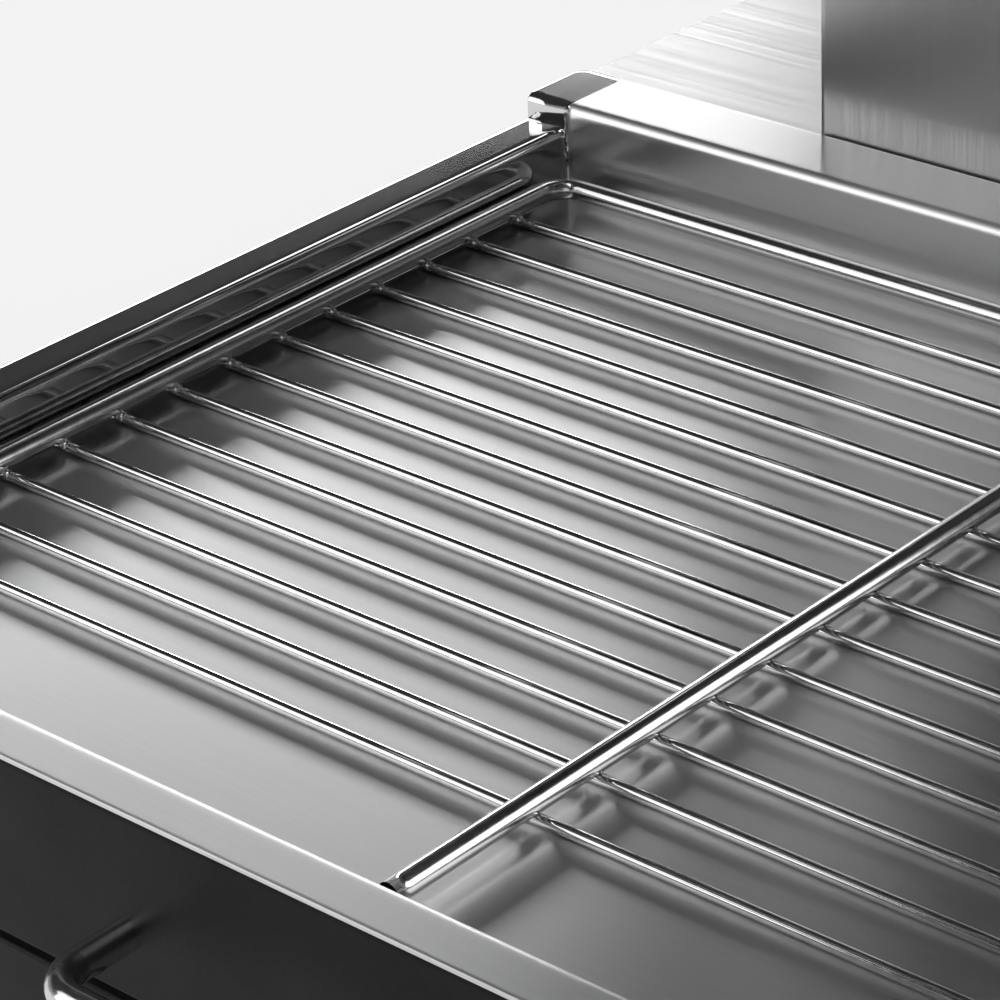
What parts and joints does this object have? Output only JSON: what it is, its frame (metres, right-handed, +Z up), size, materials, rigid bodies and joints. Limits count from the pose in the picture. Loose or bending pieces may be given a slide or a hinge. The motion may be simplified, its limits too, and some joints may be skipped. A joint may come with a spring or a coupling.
{
  "type": "salamander grill",
  "caption": "Counter-top lift-type salamander grill with a wire rack in a lift-out steel pan, a crumb drawer and a heating head that slides on a rear column.",
  "frame": {"origin": "on the table, under the middle of the whole grill", "axes": "+Z up, -Y towards the user, +X to the user's right"},
  "size_m": [0.4744, 0.509, 0.4945],
  "materials": {
    "pan_steel": "satin",
    "rack_steel": "polished",
    "cover_steel": "satin",
    "inner_steel": "satin",
    "black_enamel": "satin",
    "bright_trim": "polished",
    "screw_steel": "satin",
    "reflector_metal": "polished",
    "element_metal": "matte",
    "black_plastic": "satin",
    "switch_plastic": "gloss",
    "lamp_amber": "gloss",
    "foot_rubber": "matte",
    "strut_black": "gloss",
    "bush_bronze": "satin",
    "cast_alloy": "satin",
    "shaft_brass": "satin",
    "white_ceramic": "matte",
    "fibre_blanket": "matte"
  },
  "bodies": {
    "base": {"base_floor": "inner_steel", "base_screws": "screw_steel", "base_wrap": "cover_steel", "bonding_stud": "screw_steel", "cable_gland": "black_plastic", "column_cap": "cover_steel", "column_cover": "cover_steel", "control_fascia": "black_enamel", "divider_plate": "inner_steel", "drawer_runners": "inner_steel", "energy_regulators": "black_plastic", "foot_screws": "screw_steel", "front_rail": "inner_steel", "guide_shafts": "bright_trim", "lamp_holders": "bright_trim", "lamp_lenses": "lamp_amber", "panel_nuts": "screw_steel", "rear_panel": "cover_steel", "rubber_feet": "foot_rubber", "shaft_buffers": "foot_rubber", "shaft_plates": "inner_steel", "strut_bracket": "inner_steel", "strut_cylinder": "strut_black", "switch_housing": "switch_plastic", "terminal_block": "white_ceramic"},
    "pan": {"grill_pan": "pan_steel"},
    "rack": {"rack_frame": "rack_steel", "rack_cross_rod": "rack_steel", "rack_wires": "rack_steel", "rack_welds": "rack_steel"},
    "drawer": {"drawer_tray": "inner_steel", "drawer_front": "black_enamel", "drawer_handle": "bright_trim", "drawer_screws": "screw_steel"},
    "head": {"bush_housings": "cast_alloy", "carriage_plate": "inner_steel", "element_supports": "inner_steel", "element_terminals": "white_ceramic", "guard_wires": "bright_trim", "guide_bushes": "bush_bronze", "handle_bar": "bright_trim", "handle_brackets": "black_plastic", "handle_caps": "black_plastic", "head_cover": "cover_steel", "head_mount_bar": "inner_steel", "head_rails": "inner_steel", "head_screws": "screw_steel", "head_terminal_block": "white_ceramic", "heat_shield": "inner_steel", "heating_elements": "element_metal", "insulation_blanket": "fibre_blanket", "lift_arms": "inner_steel", "reflector": "reflector_metal", "strut_rod": "bright_trim", "strut_top_pin": "bright_trim"},
    "knob_left": {"knob_left": "black_plastic", "regulator_shaft_left": "shaft_brass"},
    "knob_right": {"knob_right": "black_plastic", "regulator_shaft_right": "shaft_brass"},
    "switch": {"switch_rocker": "switch_plastic"}
  },
  "joints": [
    {"name": "head_lift", "type": "slide", "parent": "base", "child": "head", "axis": [0, 0, 1], "range_m": [-0.2, 0]},
    {"name": "drawer_slide", "type": "slide", "parent": "base", "child": "drawer", "axis": [0, -1, 0], "range_m": [0, 0.22]},
    {"name": "pan_lift", "type": "slide", "parent": "base", "child": "pan", "axis": [0, 0, 1], "range_m": [0, 0.06]},
    {"name": "rack_lift", "type": "slide", "parent": "pan", "child": "rack", "axis": [0, 0, 1], "range_m": [0, 0.08]},
    {"name": "knob_left_turn", "type": "hinge", "parent": "base", "child": "knob_left", "pos_m": [0.095, -0.2195, 0.046], "axis": [0, 1, 0], "range_deg": [0, 270]},
    {"name": "knob_right_turn", "type": "hinge", "parent": "base", "child": "knob_right", "pos_m": [0.175, -0.2195, 0.046], "axis": [0, 1, 0], "range_deg": [0, 270]},
    {"name": "switch_rock", "type": "hinge", "parent": "base", "child": "switch", "pos_m": [-0.2, -0.218, 0.046], "axis": [-1, 0, 0], "range_deg": [0, 16]}
  ]
}
